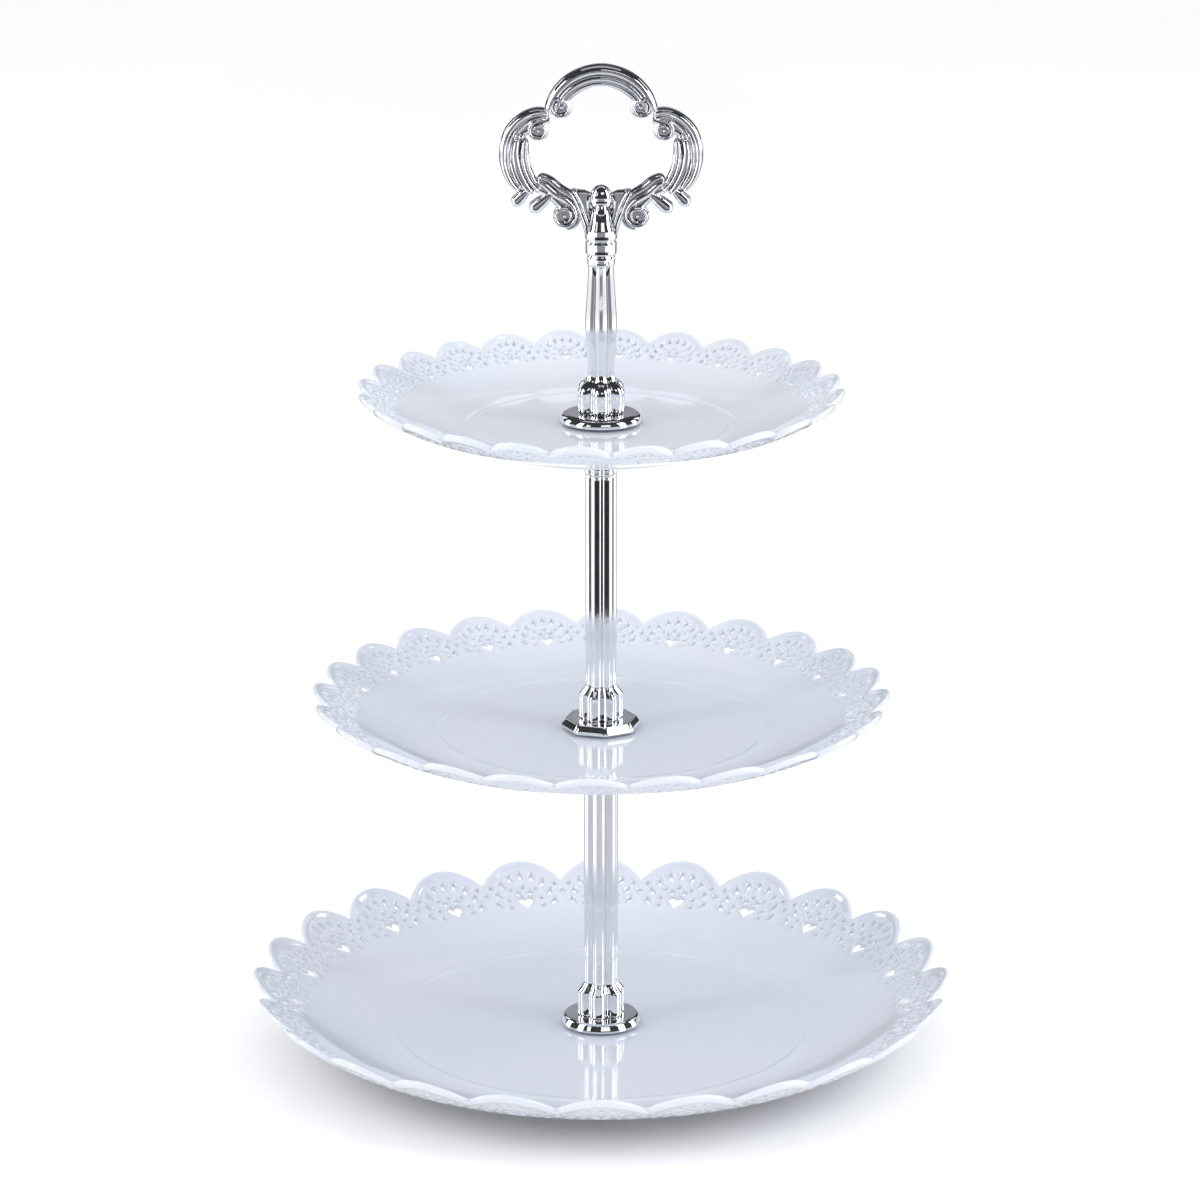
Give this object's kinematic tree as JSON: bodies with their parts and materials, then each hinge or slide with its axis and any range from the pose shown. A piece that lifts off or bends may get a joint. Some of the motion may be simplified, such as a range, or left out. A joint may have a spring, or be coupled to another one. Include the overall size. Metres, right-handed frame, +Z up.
{
  "type": "tiered cake stand",
  "caption": "Serving stand with scalloped lace plates on a screwed, lobed chrome column, topped by a scrollwork finger ring.",
  "frame": {"origin": "centre of the foot ring's underside, on the table", "axes": "+Z up the column, -Y towards the viewer, +X to the viewer's right; the finger ring lies in the XZ plane"},
  "size_m": [0.26, 0.26, 0.3717],
  "materials": {
    "chrome": "bright chrome plating on zinc castings and steel tube",
    "steel": "zinc-plated steel fasteners",
    "brass": "turned brass",
    "clear_washer": "soft translucent PVC",
    "plate_plastic": "glossy translucent pearl-white plastic"
  },
  "bodies": {
    "base": {"bottom_plate": "plate_plastic", "bottom_lower_washer": "clear_washer", "bottom_steel_washer": "steel", "bottom_screw": "steel"},
    "lower_washer": {"bottom_upper_washer": "clear_washer"},
    "lower_rod": {"lower_flange": "chrome", "lower_rod_collar": "chrome", "lower_rod_insert": "brass", "lower_rod_tube": "chrome", "lower_rod_ferrule": "chrome", "lower_rod_stud": "steel", "middle_lower_washer": "clear_washer"},
    "middle_tier": {"middle_plate": "plate_plastic"},
    "middle_washer": {"middle_upper_washer": "clear_washer"},
    "middle_rod": {"middle_flange": "chrome", "middle_rod_collar": "chrome", "middle_rod_insert": "brass", "middle_rod_tube": "chrome", "middle_rod_ferrule": "chrome", "middle_rod_stud": "steel", "top_lower_washer": "clear_washer"},
    "top_tier": {"top_plate": "plate_plastic"},
    "handle_washer": {"top_upper_washer": "clear_washer"},
    "handle": {"handle_flange": "chrome", "handle_insert": "brass", "handle_stem": "chrome", "handle_stud": "steel", "finger_ring": "chrome"}
  },
  "joints": [
    {"name": "lower_rod_turn", "type": "hinge", "parent": "base", "child": "lower_washer", "pos_m": [0, 0, 0.007], "axis": [0, 0, 1], "range_deg": [0, 2881]},
    {"name": "lower_rod_lift", "type": "slide", "parent": "lower_washer", "child": "lower_rod", "axis": [0, 0, 1], "range_m": [0, 0.008]},
    {"name": "middle_plate_turn", "type": "hinge", "parent": "lower_rod", "child": "middle_tier", "pos_m": [0, 0, 0.1232], "axis": [0, 0, 1], "continuous": true},
    {"name": "middle_rod_turn", "type": "hinge", "parent": "lower_rod", "child": "middle_washer", "pos_m": [0, 0, 0.1232], "axis": [0, 0, 1], "range_deg": [0, 2881]},
    {"name": "middle_rod_lift", "type": "slide", "parent": "middle_washer", "child": "middle_rod", "axis": [0, 0, 1], "range_m": [0, 0.008]},
    {"name": "top_plate_turn", "type": "hinge", "parent": "middle_rod", "child": "top_tier", "pos_m": [0, 0, 0.2394], "axis": [0, 0, 1], "continuous": true},
    {"name": "handle_turn", "type": "hinge", "parent": "middle_rod", "child": "handle_washer", "pos_m": [0, 0, 0.2394], "axis": [0, 0, 1], "range_deg": [0, 2881]},
    {"name": "handle_lift", "type": "slide", "parent": "handle_washer", "child": "handle", "axis": [0, 0, 1], "range_m": [0, 0.008]}
  ],
  "couplings": [
    {"joint": "lower_rod_turn", "follows": "lower_rod_lift", "rad_per_m": 6283.2},
    {"joint": "middle_rod_turn", "follows": "middle_rod_lift", "rad_per_m": 6283.2},
    {"joint": "handle_turn", "follows": "handle_lift", "rad_per_m": 6283.2}
  ]
}
